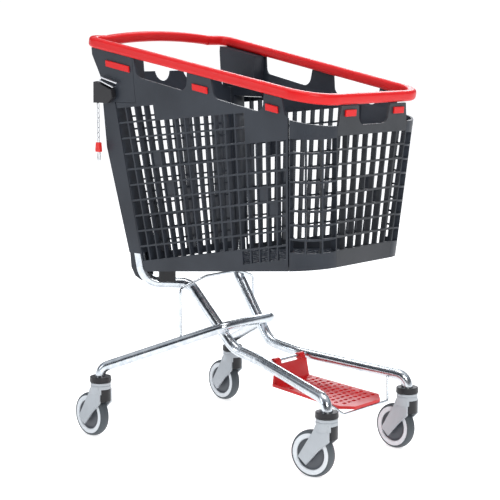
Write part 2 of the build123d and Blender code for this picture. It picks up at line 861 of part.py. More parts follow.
hanger_x = 391.0
hanger_z = 154.5
hanger_half = 98.0
hanger_wire = 3.0
hanger_share = 0.82
hanger_head = lerp(leg_spread, Vector(front_stem_x, -front_stem_y, front_bend_z), hanger_share)
with BuildPart() as tray_hanger:
    with BuildLine():
        hanger_path = FilletPolyline(
            hanger_head,
            (hanger_x, -hanger_half, hanger_z),
            (hanger_x, 0, hanger_z),
            radius=14,
        )
    with BuildSketch(Plane(origin=hanger_path @ 0, x_dir=(1, 0, 0), z_dir=hanger_path % 0)):
        Circle(hanger_wire)
    sweep()
    add(tube_seat.part, mode=Mode.SUBTRACT)
    mirror(about=Plane.XZ)
save(tray_hanger.part, "tray_hanger")

# ------------------------------------------------------------------ castors
stems = {
    "front_right": (front_stem_x, -front_stem_y),
    "front_left": (front_stem_x, front_stem_y),
    "rear_right": (rear_stem_x, -rear_stem_y),
    "rear_left": (rear_stem_x, rear_stem_y),
}
wheel_radius = wheel_diameter / 2
collar_radius = 31.0
housing_radius = 29.0
bearing_height = 2.0
housing_height = 32.0
housing_head_z = collar_foot_z - bearing_height
housing_floor_z = housing_head_z - housing_height
groove_drop = 9.0
bumper_foot_z = housing_floor_z - 22.0
bumper_height = 35.9
stem_radius = 6.0
fork_inner = 17.5
fork_outer = 23.5
axle_radius = 5.0
axle_half = 20.5
ring_outer = 54.5
ring_inner = 41.5
bearing_radius = 22.0


def swivel_plane(name):
    """Floor-level frame of one castor, its x along the rolling direction at rest."""
    turn = math.radians(rest_swivels[name])
    x, y = stems[name]
    return Plane(origin=(x, y, 0), x_dir=(math.cos(turn), math.sin(turn), 0), z_dir=(0, 0, 1))


def side_view(frame, along, across, height):
    """Plane that faces sideways in a castor's frame, its x forward and its y up."""
    origin = frame.from_local_coords((along, across, height))
    return Plane(origin=origin, x_dir=frame.x_dir, z_dir=frame.y_dir * -1)


def axle_view(frame):
    """Plane through a castor's axle, its x forward and its y along the axle."""
    hub = frame.from_local_coords((-castor_trail, 0, wheel_radius))
    return Plane(origin=hub, x_dir=frame.x_dir, z_dir=(0, 0, 1))


def wheel_band(name, part_name, points, crown=0.0):
    """Turned ring about a castor's axle from a profile of (radius, across) points."""
    frame = swivel_plane(name)
    plane = axle_view(frame)
    with BuildPart() as band:
        with BuildSketch(plane):
            with BuildLine():
                for start, end in zip(points, points[1:] + points[:1]):
                    if crown and start[0] == end[0] == wheel_radius - crown:
                        ThreePointArc(start, (wheel_radius, 0), end)
                    else:
                        Line(start, end)
            make_face()
        revolve(axis=Axis(plane.origin, frame.y_dir))
    save(band.part, part_name + "_" + name)


def castor_housing(name):
    """Moulded fork housing: a turned head over two raked fork arms."""
    frame = swivel_plane(name)
    with BuildPart() as housing:
        with BuildSketch(frame.offset(housing_floor_z)):
            Circle(housing_radius)
        extrude(amount=housing_head_z - housing_floor_z)
        with BuildSketch(frame.offset(housing_head_z - groove_drop)):
            Circle(housing_radius + 1)
            Circle(housing_radius - 1.2, mode=Mode.SUBTRACT)
        extrude(amount=2.4, mode=Mode.SUBTRACT)
        for side in (-1, 1):
            with BuildSketch(side_view(frame, 0, side * (fork_inner + fork_outer) / 2, 0)):
                with BuildLine():
                    Polyline(
                        (-20, housing_head_z - 16),
                        (-26, housing_floor_z),
                        (-castor_trail - 32, wheel_radius - 7.5),
                        (-castor_trail - 8, wheel_radius - 27.5),
                        (-12, wheel_radius + 13.5),
                        (20, housing_floor_z - 26),
                        (20, housing_head_z - 16),
                        close=True,
                    )
                make_face()
            extrude(amount=(fork_outer - fork_inner) / 2, both=True)
        with BuildSketch(side_view(frame, 0, 0, 0)):
            with Locations((22 + 12, housing_floor_z - 5)):
                Rectangle(44, 38)
        extrude(amount=fork_inner - 0.5, both=True, mode=Mode.SUBTRACT)
        with BuildSketch(frame.offset(housing_floor_z + 4)):
            Circle(stem_radius + running_gap)
        extrude(amount=40, mode=Mode.SUBTRACT)
        with BuildSketch(side_view(frame, -castor_trail, 0, wheel_radius)):
            Circle(axle_radius)
        extrude(amount=axle_half, both=True, mode=Mode.SUBTRACT)
    save(housing.part, "fork_housing_" + name)


def castor_bumper(name):
    """Black insert that closes the front of the housing between its arms."""
    frame = swivel_plane(name)
    with BuildPart() as bumper:
        with BuildSketch(frame.offset(bumper_foot_z)):
            Circle(housing_radius - 0.2)
            with Locations((-20 + 4.5, 0)):
                Rectangle(56, 70, mode=Mode.SUBTRACT)
            with Locations((0, fork_inner - 0.6 + 20), (0, -fork_inner + 0.6 - 20)):
                Rectangle(80, 40, mode=Mode.SUBTRACT)
        extrude(amount=bumper_height)
    save(bumper.part, "fork_bumper_" + name)


def wheel_axle(name):
    """Plain steel pin between the fork arms."""
    frame = swivel_plane(name)
    with BuildPart() as axle:
        with BuildSketch(side_view(frame, -castor_trail, 0, wheel_radius)):
            Circle(axle_radius)
        extrude(amount=axle_half, both=True)
    save(axle.part, "wheel_axle_" + name)


tyre_crown = 4.0
tyre_half = wheel_width / 2
bore = axle_radius + running_gap
for name in stems:
    castor_housing(name)
    castor_bumper(name)
    wheel_axle(name)
    wheel_band(
        name,
        "wheel_hub",
        [(bore, -15), (11, -15), (11, -9), (36, -8), (ring_inner, -12)]
        + [(ring_inner, 12), (36, 8), (11, 9), (11, 15), (bore, 15)],
    )
    wheel_band(
        name,
        "wheel_ring",
        [(ring_inner, -12), (ring_inner + 2, -14), (ring_outer, -14)]
        + [(ring_outer, 14), (ring_inner + 2, 14), (ring_inner, 12)],
    )
    wheel_band(
        name,
        "wheel_tyre",
        [
            (ring_outer, -tyre_half + 1),
            (wheel_radius - tyre_crown, -tyre_half + 1),
            (wheel_radius - tyre_crown, tyre_half - 1),
            (ring_outer, tyre_half - 1),
        ],
        tyre_crown,
    )

with BuildPart() as stem_collars:
    for x, y in stems.values():
        spigot = tube_diameter if x > 0 else leg_tube_diameter
        with BuildSketch(Plane(origin=(x, y, collar_foot_z))):
            Circle(collar_radius)
        extrude(amount=collar_head_z - collar_foot_z, taper=4)
        with BuildSketch(Plane(origin=(x, y, tube_foot_z))):
            Circle(spigot / 2 + seat_gap)
        extrude(amount=30, mode=Mode.SUBTRACT)
        with BuildSketch(Plane(origin=(x, y, collar_foot_z))):
            Circle(stem_radius)
        extrude(amount=30, mode=Mode.SUBTRACT)
save(stem_collars.part, "stem_collars")

with BuildPart() as stem_pins:
    for x, y in stems.values():
        spigot = tube_diameter if x > 0 else leg_tube_diameter
        with BuildSketch(Plane(origin=(x, y, housing_floor_z + 5))):
            Circle(stem_radius)
        extrude(amount=tube_foot_z + 2 - housing_floor_z - 5)
        with BuildSketch(Plane(origin=(x, y, tube_foot_z + 1))):
            Circle(spigot / 2 - tube_wall)
        extrude(amount=8)
save(stem_pins.part, "stem_pins")

with BuildPart() as swivel_bearings:
    for x, y in stems.values():
        with BuildSketch(Plane(origin=(x, y, housing_head_z + 0.1))):
            Circle(bearing_radius)
            Circle(stem_radius, mode=Mode.SUBTRACT)
        extrude(amount=collar_foot_z - housing_head_z - 0.1)
save(swivel_bearings.part, "swivel_bearings")

# ------------------------------------------------------------------ coin lock on the right-hand post
lock_inner_gap = 0.1
lock_depth = 14.0
lock_wall = 3.0
lock_cover_thickness = 3.0
slider_width = 24.0
slider_height = 16.0
slider_depth = 7.0
lock_outline = [(-337, 950), (-330, 1008), (-316, 1006), (-266, 986), (-264, 966), (-282, 950)]
lock_pocket = [(-324, 958), (-324, 1000), (-318, 1000), (-272, 982), (-272, 966), (-286, 958)]
lock_face = side_plane.offset(lock_inner_gap)
slider_x = -308.0
slider_z = 974.0


def outline(points):
    """Closed outline through places on the right side face."""
    return Polygon(*[on_side(x, z) for x, z in points], align=None, mode=Mode.PRIVATE)


with BuildPart() as lock_case:
    with BuildSketch(lock_face):
        add(outline(lock_outline))
    extrude(amount=lock_depth)
    with BuildSketch(lock_face.offset(lock_wall)):
        add(outline(lock_pocket))
    extrude(amount=lock_depth, mode=Mode.SUBTRACT)
save(lock_case.part, "lock_case")

with BuildPart() as lock_cover:
    with BuildSketch(lock_face.offset(lock_depth + seat_gap)):
        add(outline(lock_outline))
    extrude(amount=lock_cover_thickness)
save(lock_cover.part, "lock_cover")

with BuildPart() as coin_slider:
    with BuildSketch(lock_face.offset(lock_wall + soft_gap)):
        with Locations(on_side(slider_x, slider_z)):
            Rectangle(slider_width, slider_height)
    extrude(amount=slider_depth)
save(coin_slider.part, "coin_slider")

with BuildPart() as slot_lips:
    for foot, head in (((-312, 1012), (-262, 993)), ((-306, 1020), (-246, 1004))):
        direction = Vector(*on_side(*head)) - Vector(*on_side(*foot))
        middle = (Vector(*on_side(*head)) + Vector(*on_side(*foot))) * 0.5
        with BuildSketch(lock_face):
            with Locations(middle):
                SlotOverall(direction.length, 4, rotation=math.degrees(math.atan2(direction.Y, direction.X)))
        extrude(amount=lock_depth)
save(slot_lips.part, "slot_lips")

# chain from the lock to the key of the next cart
chain_x = -328.0
chain_head_z = 948.7
chain_count = 8
link_length = 18.0
link_wire = 1.2
link_half = 3.6
link_straight = link_length / 2 - link_half - link_wire
link_pitch = 13.4
chain_y = -half_width(chain_x, chain_head_z) - lock_depth / 2

with BuildPart() as chain_links:
    for link in range(chain_count):
        centre = Vector(chain_x, chain_y, chain_head_z - link_length / 2 - link * link_pitch)
        facing = (0, -1, 0) if link % 2 else (1, 0, 0)
        with BuildLine(Plane(origin=centre, x_dir=(0, 0, 1), z_dir=facing)) as link_line:
            Line((-link_straight, link_half), (link_straight, link_half))
            CenterArc((link_straight, 0), link_half, 90, -180)
            Line((link_straight, -link_half), (-link_straight, -link_half))
            CenterArc((-link_straight, 0), link_half, 270, -180)
        start = link_line.line @ 0
        with BuildSketch(Plane(origin=start, z_dir=link_line.line % 0)):
            Circle(link_wire)
        sweep()
save(chain_links.part, "chain_links")

# key: the chain's last link ends in a socket in the head of the grip
socket_depth = 4.0
key_shoulder = 1.6
key_depth = 5.0
key_tongue_depth = 1.2
chain_end_z = chain_head_z - link_length - (chain_count - 1) * link_pitch
key_head_z = chain_end_z + socket_depth
key_plane = Plane(origin=(chain_x, chain_y, key_head_z), x_dir=(1, 0, 0), z_dir=(0, -1, 0))
with BuildPart() as key_grip:
    with BuildSketch(key_plane):
        with BuildLine():
            Polyline(
                (-7, -key_shoulder), (7, -key_shoulder), (9, -20), (9, -28), (-9, -28), (-9, -20), close=True
            )
        make_face()
    extrude(amount=key_depth, both=True)
    with Locations((chain_x, chain_y, chain_end_z - soft_gap + socket_depth / 2)):
        Box(
            2 * (link_half + link_wire + soft_gap),
            2 * (link_wire + soft_gap),
            socket_depth,
            mode=Mode.SUBTRACT,
        )
save(key_grip.part, "key_grip")

with BuildPart() as key_tongue:
    with BuildSketch(key_plane):
        with Locations((0, -28.1 - 12)):
            RectangleRounded(13, 24, 3)
            Rectangle(6, 13, mode=Mode.SUBTRACT)
    extrude(amount=key_tongue_depth, both=True)
save(key_tongue.part, "key_tongue")
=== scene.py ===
import json
import math

import bmesh
import bpy
import numpy as np
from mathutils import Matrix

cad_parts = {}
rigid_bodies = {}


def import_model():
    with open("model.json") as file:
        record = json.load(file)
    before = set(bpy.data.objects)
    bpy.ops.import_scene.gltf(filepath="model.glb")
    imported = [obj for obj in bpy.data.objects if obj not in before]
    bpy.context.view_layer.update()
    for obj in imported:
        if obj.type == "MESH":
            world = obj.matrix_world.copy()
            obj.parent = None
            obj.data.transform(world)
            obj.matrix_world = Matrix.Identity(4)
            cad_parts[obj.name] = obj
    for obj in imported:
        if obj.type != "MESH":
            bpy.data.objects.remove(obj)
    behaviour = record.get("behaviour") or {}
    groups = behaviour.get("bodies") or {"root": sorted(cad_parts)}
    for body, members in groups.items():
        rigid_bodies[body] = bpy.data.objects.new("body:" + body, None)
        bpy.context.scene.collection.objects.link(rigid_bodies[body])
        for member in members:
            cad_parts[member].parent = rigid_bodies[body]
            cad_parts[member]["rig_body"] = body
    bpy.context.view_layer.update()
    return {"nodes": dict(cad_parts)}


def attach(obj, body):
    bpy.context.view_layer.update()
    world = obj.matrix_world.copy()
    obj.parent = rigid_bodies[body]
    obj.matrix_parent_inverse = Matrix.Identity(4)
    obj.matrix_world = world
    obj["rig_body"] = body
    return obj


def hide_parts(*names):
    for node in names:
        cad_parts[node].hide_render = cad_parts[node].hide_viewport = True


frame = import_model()

# ------------------------------------------------------------------ studio
# A pale seamless floor under three large soft lights, with a long lens at the cart's front right.
mm = 0.001
floor_half = 40.0
floor_grey = 0.84
floor_glow = 0.78
camera_place = (2.6627, -3.0965, 1.1280)
camera_turn = (81.795, 0.0, 40.859)
camera_lens = 106.53
lights = [
    ("key", (4.4, -2.2, 3.2), (0.0, 0.0, 0.6), 1.6, 130.0, (1.0, 0.99, 0.97)),
    ("fill", (-2.6, -4.6, 2.0), (0.0, 0.0, 0.6), 1.8, 40.0, (0.93, 0.96, 1.0)),
    ("back", (-2.5, 4.0, 3.0), (0.0, 0.0, 0.7), 2.2, 60.0, (0.95, 0.97, 1.0)),
    ("top", (0.3, -0.2, 4.2), (0.0, 0.0, 0.5), 2.6, 75.0, (1.0, 1.0, 1.0)),
]
air_bright = (1.0, 1.0, 1.0, 1.0)
air_dark = (0.05, 0.06, 0.08, 1.0)
air_by_height = [
    (0.00, (1.05, 1.05, 1.05, 1)),
    (0.06, (1.05, 1.05, 1.05, 1)),
    (0.16, (0.20, 0.22, 0.25, 1)),
    (0.42, (0.10, 0.11, 0.13, 1)),
    (0.60, (0.62, 0.65, 0.70, 1)),
    (1.00, (0.85, 0.87, 0.90, 1)),
]
dark_side = (0.62, -0.76, 0.0)


class Field:
    """A value on a surface. Arithmetic on fields adds Math nodes, on numbers it stays a number."""

    def __init__(self, finish, socket):
        self.finish = finish
        self.socket = socket

    def math(self, operation, a, b):
        return self.finish.node("ShaderNodeMath", {"operation": operation}, {0: a, 1: b})

    def __add__(self, other):
        return self.math("ADD", self, other)

    def __radd__(self, other):
        return self.math("ADD", other, self)

    def __sub__(self, other):
        return self.math("SUBTRACT", self, other)

    def __rsub__(self, other):
        return self.math("SUBTRACT", other, self)

    def __mul__(self, other):
        return self.math("MULTIPLY", self, other)

    def __rmul__(self, other):
        return self.math("MULTIPLY", other, self)


class Finish:
    """One surface finish: a Principled shader whose sockets take numbers or fields."""

    def __init__(self, name, **sockets):
        self.material = bpy.data.materials.new(name)
        self.material.use_nodes = True
        self.tree = self.material.node_tree
        self.shader = self.tree.nodes["Principled BSDF"]
        self.place = self.node("ShaderNodeTexCoord", output="Object")
        for socket, value in sockets.items():
            self.put(self.shader, socket.replace("_", " "), value)

    def put(self, node, socket, value):
        if isinstance(value, Field):
            self.tree.links.new(value.socket, node.inputs[socket])
        else:
            node.inputs[socket].default_value = value

    def node(self, kind, settings=None, inputs=None, output=0):
        """Any node: its settings first, with a ramp's stops as (place, colour), then its sockets."""
        made = self.tree.nodes.new(kind)
        for name, value in (settings or {}).items():
            if name == "stops":
                ramp = made.color_ramp.elements
                while len(ramp) < len(value):
                    ramp.new(0.5)
                for element, (place, colour) in zip(ramp, value):
                    element.position = place
                    element.color = colour
            else:
                setattr(made, name, value)
        for socket, value in (inputs or {}).items():
            self.put(made, socket, value)
        return Field(self, made.outputs[output])

    def noise(self, scale, detail=3.0, stretch=(1, 1, 1), where=None):
        """Cloudy field from 0 to 1, scale in features per metre along each stretched axis."""
        place = self.node(
            "ShaderNodeMapping",
            {"vector_type": "POINT"},
            {"Vector": where or self.place, "Scale": stretch},
        )
        return self.node(
            "ShaderNodeTexNoise", None, {"Vector": place, "Scale": scale, "Detail": detail}, "Fac"
        )

    def ramp(self, value, low, high):
        """Field that rises from 0 at low to 1 at high."""
        stops = [(low, (0, 0, 0, 1)), (high, (1, 1, 1, 1))]
        return self.node("ShaderNodeValToRGB", {"stops": stops}, {"Fac": value})

    def mix(self, share, low, high):
        """Colour between low and high by share."""
        return self.node("ShaderNodeMix", {"data_type": "RGBA"}, {0: share, 6: low, 7: high}, 2)

    def bump(self, height, depth, strength=1.0):
        """Surface relief: height in 0 to 1 times depth in metres."""
        relief = self.node(
            "ShaderNodeBump", None, {"Height": height, "Distance": depth, "Strength": strength}, "Normal"
        )
        self.put(self.shader, "Normal", relief)


def shade(colour, gain=1.0):
    """Linear colour with alpha, brightened by gain."""
    return (colour[0] * gain, colour[1] * gain, colour[2] * gain, 1.0)


floor_mesh = bpy.data.meshes.new("studio_floor")
floor_corners = [(-floor_half, -floor_half, 0), (floor_half, -floor_half, 0)]
floor_corners += [(floor_half, floor_half, 0), (-floor_half, floor_half, 0)]
floor_mesh.from_pydata(floor_corners, [], [(0, 1, 2, 3)])
studio_floor = bpy.data.objects.new("studio_floor", floor_mesh)
bpy.context.scene.collection.objects.link(studio_floor)
floor_finish = Finish("floor_paper", Roughness=0.9, Emission_Strength=floor_glow)
floor_tone = floor_finish.ramp(floor_finish.noise(1.2), 0.3, 0.7)
floor_colour = floor_finish.mix(floor_tone, shade((floor_grey,) * 3), shade((floor_grey,) * 3, 1.03))
floor_finish.put(floor_finish.shader, "Base Color", floor_colour)
floor_finish.put(floor_finish.shader, "Emission Color", floor_colour)
floor_mesh.materials.append(floor_finish.material)


def aim(place, target):
    """Turn that points a lamp's -Z from place to target."""
    direction = np.array(target) - np.array(place)
    flat = math.hypot(direction[0], direction[1])
    return (math.atan2(flat, -direction[2]), 0.0, math.atan2(direction[1], direction[0]) - math.pi / 2)


for lamp_name, place, target, size, power, colour in lights:
    lamp = bpy.data.lights.new(lamp_name, "AREA")
    lamp.shape = "DISK"
    lamp.size = size
    lamp.energy = power
    lamp.color = colour
    lamp_object = bpy.data.objects.new(lamp_name, lamp)
    lamp_object.location = place
    lamp_object.rotation_euler = aim(place, target)
    bpy.context.scene.collection.objects.link(lamp_object)

# the room is white behind the cart and falls to a dark grey behind the camera, low down, so that
# bright metal has something to mirror
world = bpy.data.worlds.new("studio_air")
world.use_nodes = True
air = world.node_tree
way = air.nodes.new("ShaderNodeTexCoord").outputs["Generated"]
facing = air.nodes.new("ShaderNodeVectorMath")
facing.operation = "DOT_PRODUCT"
air.links.new(way, facing.inputs[0])
facing.inputs[1].default_value = dark_side
fall = air.nodes.new("ShaderNodeValToRGB")
fall.color_ramp.elements[0].position = 0.15
fall.color_ramp.elements[0].color = air_bright
fall.color_ramp.elements[1].position = 0.75
fall.color_ramp.elements[1].color = air_dark
air.links.new(facing.outputs["Value"], fall.inputs["Fac"])
height = air.nodes.new("ShaderNodeSeparateXYZ")
air.links.new(way, height.inputs["Vector"])
bands = air.nodes.new("ShaderNodeValToRGB")
while len(bands.color_ramp.elements) < len(air_by_height):
    bands.color_ramp.elements.new(0.5)
for element, (place, colour) in zip(bands.color_ramp.elements, air_by_height):
    element.position = place
    element.color = colour
air.links.new(height.outputs["Z"], bands.inputs["Fac"])
joined = air.nodes.new("ShaderNodeMix")
joined.data_type = "RGBA"
joined.blend_type = "MULTIPLY"
joined.inputs[0].default_value = 1.0
air.links.new(fall.outputs["Color"], joined.inputs[6])
air.links.new(bands.outputs["Color"], joined.inputs[7])
air.links.new(joined.outputs[2], air.nodes["Background"].inputs["Color"])
air.nodes["Background"].inputs["Strength"].default_value = 1.0
bpy.context.scene.world = world
bpy.context.scene.view_settings.view_transform = "Standard"

camera = bpy.data.cameras.new("camera")
camera.lens = camera_lens
camera.sensor_width = 36.0
camera.clip_end = 100.0
camera_object = bpy.data.objects.new("camera", camera)
camera_object.location = camera_place
camera_object.rotation_euler = [math.radians(turn) for turn in camera_turn]
bpy.context.scene.collection.objects.link(camera_object)
bpy.context.scene.camera = camera_object

# ------------------------------------------------------------------ chassis tubes and rods
# Two drawn steel tubes run from the basket's posts down the legs to the front castors; a third
# crosses between them and spreads to the rear castors. Bent cold, welded and bright zinc plated.
plated = Finish("zinc_plate", Metallic=1.0, Base_Color=(0.80, 0.82, 0.85, 1))
run_marks = plated.noise(60.0, 4.0)
spangle = plated.noise(420.0, 2.0)
plated.put(
    plated.shader,
    "Base Color",
    plated.mix(plated.ramp(run_marks, 0.35, 0.7), shade((0.52, 0.56, 0.60)), shade((0.70, 0.73, 0.76))),
)
plated.put(plated.shader, "Roughness", 0.13 + 0.16 * run_marks + 0.05 * spangle)
plated.bump(spangle, 0.00002, 0.25)


def bent_route(points, radii, step=0.006):
    """Centre line of straight runs joined by arcs: at each corner the arc of radius r starts
    r * tan(half the turn) before the corner, and its points lie at corner + u(t)."""
    points = [np.array(p, float) for p in points]
    line = [points[0]]
    for before, corner, after, radius in zip(points, points[1:], points[2:], radii):
        way_in = (corner - before) / np.linalg.norm(corner - before)
        way_out = (after - corner) / np.linalg.norm(after - corner)
        turn = math.acos(np.clip(way_in @ way_out, -1, 1))
        reach = radius * math.tan(turn / 2)
        inward = way_out - way_in * (way_in @ way_out)
        inward /= np.linalg.norm(inward)
        start = corner - way_in * reach
        count = max(4, int(radius * turn / step))
        angles = np.linspace(0, turn, count + 1)[:, None]
        arc = start + radius * (way_in * np.sin(angles) + inward * (1 - np.cos(angles)))
        line.extend(arc)
    line.append(points[-1])
    return np.array(line)


def carry_frames(line, first_side):
    """Directions across a line that never twist about it, from a first sideways direction."""
    tangents = np.gradient(line, axis=0)
    tangents /= np.linalg.norm(tangents, axis=1)[:, None]
    side = np.array(first_side, float)
    sides = []
    for tangent in tangents:
        side = side - tangent * (side @ tangent)
        side /= np.linalg.norm(side)
        sides.append(side)
    sides = np.array(sides)
    return sides, np.cross(tangents, sides)


def grid_piece(name, grid, finish):
    """Mesh piece from grid[i, j], i along it and j round it. Each end is closed by one face."""
    rows, columns = grid.shape[:2]
    index = np.arange(rows * columns).reshape(rows, columns)
    i, j = np.meshgrid(np.arange(rows - 1), np.arange(columns), indexing="ij")
    a = index[i, j]
    b = index[i, (j + 1) % columns]
    c = index[i + 1, (j + 1) % columns]
    d = index[i + 1, j]
    faces = np.stack([a, b, c, d], -1).reshape(-1, 4).tolist()
    faces.append(index[0, ::-1].tolist())
    faces.append(index[-1].tolist())
    mesh = bpy.data.meshes.new(name)
    mesh.from_pydata(grid.reshape(-1, 3).tolist(), [], faces)
    mesh.materials.append(finish.material)
    work = bmesh.new()
    work.from_mesh(mesh)
    bmesh.ops.recalc_face_normals(work, faces=work.faces)
    work.to_mesh(mesh)
    work.free()
    smooth_by_angle(mesh, 40)
    piece = bpy.data.objects.new(name, mesh)
    bpy.context.scene.collection.objects.link(piece)
    return piece


def smooth_by_angle(mesh, degrees):
    """Smooth shading with edges sharper than the angle kept crisp."""
    mesh.shade_smooth()
    mesh.set_sharp_from_angle(angle=math.radians(degrees))


def round_bar(name, line, radius, finish, first_side, sides=32):
    """Tube surface: P(s, u) = line(s) + radius * (cos u * side(s) + sin u * normal(s))."""
    across, normal = carry_frames(line, first_side)
    u = np.linspace(0, 2 * np.pi, sides, endpoint=False)[None, :, None]
    grid = line[:, None] + radius * (np.cos(u) * across[:, None] + np.sin(u) * normal[:, None])
    return grid_piece(name, grid, finish)


def settle(piece, slot, *replaced):
    """Fix a piece to the body of the CAD nodes that it stands for."""
    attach(piece, frame["nodes"][replaced[0]]["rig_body"])
    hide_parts(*replaced)


def flip(points):
    """The same places on the cart's other side."""
    return np.array(points, float) * (1, -1, 1)


basket_half_width = 262.6
basket_ref_z = 1000.0
side_draft = 0.10
plan_taper = 0.042


def half_width(x, z):
    """Half width of the basket's outer side face, in millimetres."""
    return basket_half_width - plan_taper * x - side_draft * (basket_ref_z - z)


side_normal = np.array([plan_taper, -1, -side_draft]) / math.hypot(plan_taper, 1, side_draft)
tube_inset = 19.0
tube_top = np.array([-296, -half_width(-296, 1000), 1000]) - side_normal * tube_inset
tube_exit = np.array([-243, -half_width(-243, 529), 529]) - side_normal * tube_inset
tube_fall = (tube_exit - tube_top) / (tube_top[2] - tube_exit[2])
upright_foot = tube_exit + tube_fall * (529 - 447)
collar_seat = 168.0
leg_points = [tube_top, upright_foot, (-150, -104, 442), (-8, -75, 268), (95, -82, 250)]
leg_points += [(399, -179, 208), (399, -179, collar_seat)]
leg_points = np.array(leg_points, float) * mm
for side, place in (("right", leg_points), ("left", flip(leg_points))):
    route = bent_route(place, np.array([52, 40, 70, 90, 34]) * mm)
    tube = round_bar("chassis_tube_" + side, route, 15 * mm, plated, (1, 0, 0), 40)
    settle(tube, "plated_steel", "main_tube_" + side)

rear_points = [(-331, -281, collar_seat), (-331, -281, 202), (-21.5, -100, 333)]
rear_points = np.array(rear_points + [tuple(p) for p in flip(rear_points[::-1])]) * mm
rear_route = bent_route(rear_points, np.array([30, 32, 32, 30]) * mm)
rear_tube = round_bar("rear_tube", rear_route, 14 * mm, plated, (1, 0, 0), 40)
settle(rear_tube, "plated_steel", "rear_leg_tube")
for rod_node in ("brace_rod", "tray_rod", "tray_hanger"):
    frame["nodes"][rod_node].data.materials.clear()
    frame["nodes"][rod_node].data.materials.append(plated.material)

# ------------------------------------------------------------------ rim and handle
# The hand rail that caps the basket is moulded in red polypropylene, in four lengths that butt
# together. Its section is a rounded square, and the rear length arches up as the handle.
rail_red = Finish("rail_red", Specular_IOR_Level=0.3, Coat_Roughness=0.2)
rail_cloud = rail_red.noise(14.0, 3.0)
rail_grain = rail_red.noise(1500.0, 2.0)
rail_rub = rail_red.ramp(rail_red.noise(55.0, 5.0, (1, 1, 4)), 0.52, 0.8)
rail_red.put(
    rail_red.shader,
    "Base Color",
    rail_red.mix(
        0.7 * rail_cloud + 0.25 * rail_rub, shade((0.58, 0.006, 0.008)), shade((0.74, 0.013, 0.014))
    ),
)
rail_red.put(rail_red.shader, "Roughness", 0.30 + 0.12 * rail_cloud + 0.16 * rail_rub)
rail_red.bump(rail_grain, 0.00003, 0.35)

rim_under = 1034.4
rim_fall = 0.19
rail_tall = 28.0
rail_wide = 26.0
rail_corner = 9.0
rail_joint_x = 250.0
rail_front_x = 398.0
rail_rear_x = -362.0
handle_half = 200.0


def rail_place(x, y):
    """Point on the rail's centre line."""
    return np.array([x, y, rim_under - rim_fall * x + rail_tall / 2 * math.hypot(1, rim_fall)])


def rail_y(x):
    z = rim_under - rim_fall * x
    return half_width(x, z - 10) - 5.0


def rounded_square(tall, wide, corner, per_corner=7):
    """Section outline: quarter arcs of the corner radius about the four inset corners."""
    outline = []
    for quarter, (sy, sz) in enumerate(((1, 1), (-1, 1), (-1, -1), (1, -1))):
        for t in np.linspace(0, math.pi / 2, per_corner):
            turn = t + quarter * math.pi / 2
            outline.append(
                (
                    sy * (wide / 2 - corner) + corner * math.cos(turn),
                    sz * (tall / 2 - corner) + corner * math.sin(turn),
                )
            )
    return np.array(outline)


def rail(name, line, node):
    """Rail length: the rounded square carried along a line, its height kept square to the rim."""
    tangents = np.gradient(line, axis=0)
    tangents /= np.linalg.norm(tangents, axis=1)[:, None]
    up = np.array([rim_fall, 0, 1]) / math.hypot(rim_fall, 1)
    across = np.cross(tangents, up)
    across /= np.linalg.norm(across, axis=1)[:, None]
    tall = np.cross(across, tangents)
    section = rounded_square(rail_tall, rail_wide, rail_corner) * mm
    grid = line[:, None] + across[:, None] * section[None, :, :1] + tall[:, None] * section[None, :, 1:]
    piece = grid_piece(name, grid, rail_red)
    settle(piece, "rim_plastic", node)


front_turn = (rail_front_x, rail_y(rail_front_x))
rear_turn = (rail_rear_x, rail_y(rail_rear_x))
front_line = [rail_place(rail_joint_x, -rail_y(rail_joint_x)), rail_place(front_turn[0], -front_turn[1])]
front_line += [rail_place(*front_turn), rail_place(rail_joint_x, rail_y(rail_joint_x))]
rail("rail_front", bent_route(np.array(front_line) * mm, [0.092, 0.092]), "rim_front")
side_line = [rail_place(rail_joint_x - 0.1, -rail_y(rail_joint_x)), rail_place(rear_turn[0], -rear_turn[1])]
side_line.append(rail_place(rail_rear_x, -handle_half))
side_route = bent_route(np.array(side_line) * mm, [0.036], 0.004)
rail("rail_right", side_route, "rim_right")
rail("rail_left", flip(side_route), "rim_left")

handle_y = np.linspace(-handle_half + 0.1, handle_half - 0.1, 60)
handle_arch = 12.0
handle_back = 6.0
swell = 1 - (handle_y / (handle_half + 8)) ** 2
handle_line = np.array([rail_place(rail_rear_x, y) for y in handle_y])
handle_line += np.stack([-handle_back * swell, 0 * swell, handle_arch * swell], 1)
rail("rail_handle", handle_line * mm, "handle_bar")

# ------------------------------------------------------------------ basket mouldings
# Sides, front, corners, floor, posts and gate are injection-moulded polypropylene in a dark slate,
# with a fine spark-eroded texture that has gone paler on the ribs that rub in the nest.


def moulding(name, dark, light, dust=0.10, rough=0.46, grain=1100.0):
    """Textured polypropylene: slow colour clouds, pale rub marks and a fine even grain."""
    finish = Finish(name, Specular_IOR_Level=0.34)
    cloud = finish.ramp(finish.noise(7.0, 4.0), 0.3, 0.72)
    rub = finish.ramp(finish.noise(38.0, 6.0, (1, 1, 0.35)), 0.55, 0.78)
    fine = finish.noise(grain, 2.0)
    colour = finish.mix(cloud, shade(dark), shade(light))
    colour = finish.mix(dust * rub, colour, shade(light, 2.1))
    finish.put(finish.shader, "Base Color", colour)
    finish.put(finish.shader, "Roughness", rough + 0.14 * rub - 0.08 * cloud)
    finish.bump(fine, 0.00006, 0.5)
    return finish


slate = moulding("slate_plastic", (0.014, 0.018, 0.026), (0.024, 0.030, 0.041))
# painted highlight: a lighter, greyer copy of the slate plastic for the front panel, standing in for the
# key light falling on the front
slate_with_painted_highlight = moulding("slate_plastic_with_painted_highlight", (0.021, 0.024, 0.029), (0.033, 0.036, 0.042))


